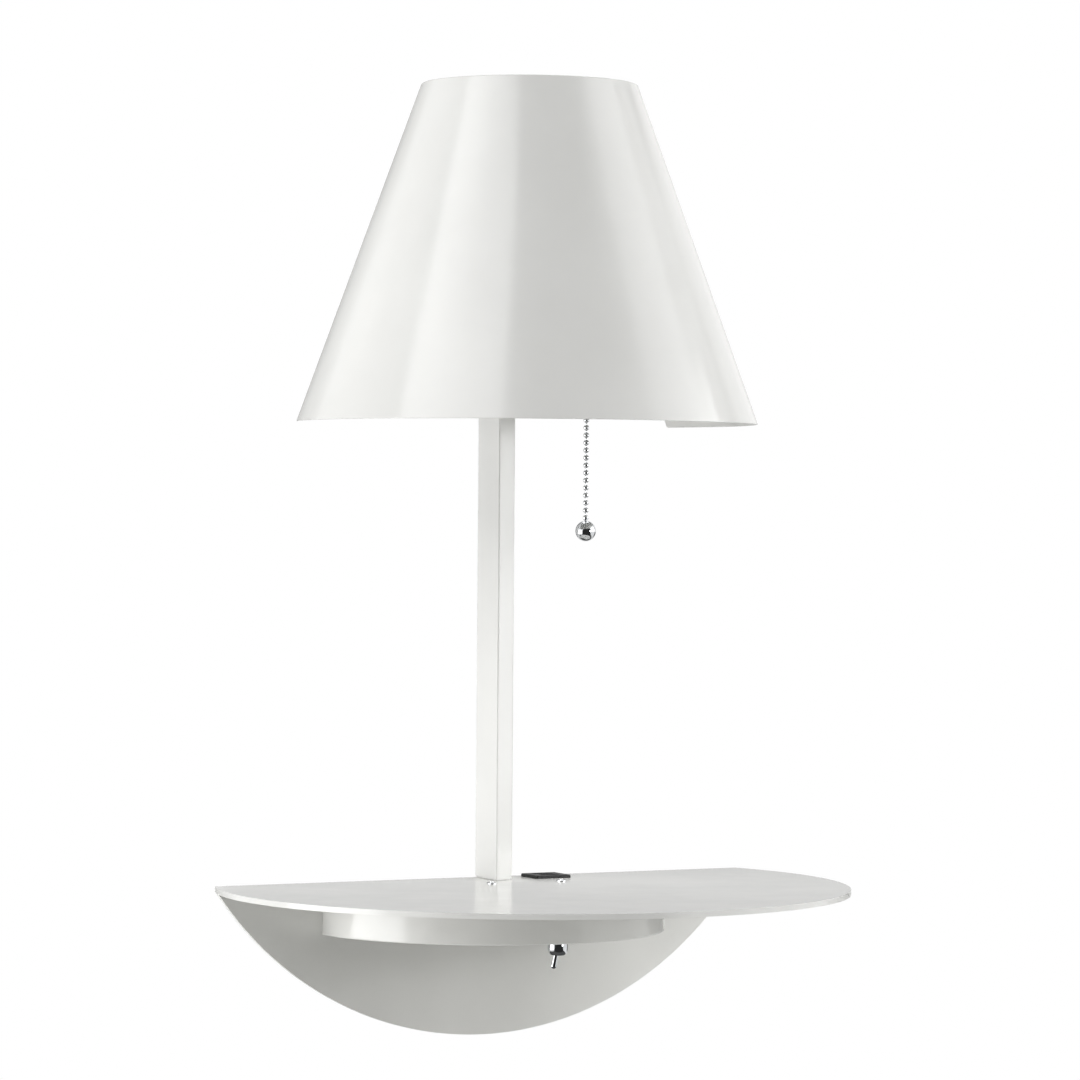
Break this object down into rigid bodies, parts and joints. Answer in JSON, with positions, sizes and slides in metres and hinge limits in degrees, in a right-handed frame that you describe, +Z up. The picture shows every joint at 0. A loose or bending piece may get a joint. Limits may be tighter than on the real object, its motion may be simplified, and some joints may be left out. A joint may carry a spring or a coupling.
{
  "type": "wall lamp with shelf",
  "caption": "Wall lamp with a half-round shelf, a rectangular post, a conical shade cut flat at the wall, a beaded pull chain, a toggle switch and a charging socket.",
  "frame": {"origin": "midway between the two fixing holes, on the wall's surface", "axes": "+Z up, +Y into the wall, +X to the right of someone who faces the lamp"},
  "size_m": [0.354, 0.238, 0.536],
  "materials": {
    "powder_coat": "satin white powder coat, fine orange peel",
    "chrome": "polished",
    "zinc_plate": "bright zinc plate",
    "brass": "plain",
    "black_abs": "moulded, fine grain",
    "phenolic": "moulded, semi-gloss",
    "white_abs": "moulded",
    "switch_blue": "moulded",
    "earth_green": "dyed zinc plate",
    "cable_sheath": "extruded PVC",
    "light_board": "white solder mask",
    "opal_cover": "frosted opal"
  },
  "bodies": {
    "lamp": {"wall_plate": "powder_coat", "shelf_plate": "powder_coat", "shelf_angles": "zinc_plate", "housing_pan": "powder_coat", "pan_pillars": "zinc_plate", "shelf_screws": "chrome", "usb_flange": "black_abs", "usb_body": "black_abs", "usb_shells": "zinc_plate", "usb_tongues": "white_abs", "toggle_body": "switch_blue", "toggle_terminals": "brass", "toggle_bushing": "zinc_plate", "toggle_nut": "chrome", "terminal_block": "white_abs", "earth_screw": "earth_green", "post": "powder_coat", "post_foot": "zinc_plate", "foot_screws": "zinc_plate", "post_cap": "powder_coat", "lamp_cable": "cable_sheath", "lamp_bracket": "powder_coat", "bracket_screws": "zinc_plate", "holder_nipple": "zinc_plate", "nipple_nuts": "zinc_plate", "holder_cup": "phenolic", "holder_sleeve": "phenolic", "screw_shell": "brass", "centre_contact": "brass", "shade_fitter": "zinc_plate", "clamping_ring": "phenolic", "shade": "powder_coat", "bulb_cap": "zinc_plate", "bulb_insulator": "phenolic", "bulb_collar": "white_abs", "light_board": "light_board", "bulb_dome": "opal_cover", "pull_switch": "phenolic", "switch_barrel": "chrome", "barrel_nut": "chrome"},
    "pull_plunger": {"pull_plunger": "white_abs"},
    "chain_top": {"chain_top_bead": "chrome"},
    "chain": {"pull_chain": "chrome", "pull_ball": "chrome"},
    "toggle_lever": {"toggle_lever": "chrome"}
  },
  "joints": [
    {"name": "chain_pull", "type": "slide", "parent": "lamp", "child": "pull_plunger", "axis": [0, 0, -1], "range_m": [0, 0.008], "stiffness_N_per_m": 200, "springref_m": -0.01},
    {"name": "chain_swing_side", "type": "hinge", "parent": "pull_plunger", "child": "chain_top", "pos_m": [0.0377, -0.05, 0.2938], "axis": [0, -1, 0], "range_deg": [-18, 30]},
    {"name": "chain_swing_front", "type": "hinge", "parent": "chain_top", "child": "chain", "pos_m": [0.0377, -0.05, 0.2938], "axis": [1, 0, 0], "range_deg": [-30, 20]},
    {"name": "toggle_throw", "type": "hinge", "parent": "lamp", "child": "toggle_lever", "pos_m": [0, -0.091, -0.014], "axis": [0, -1, 0], "range_deg": [0, 25]}
  ]
}
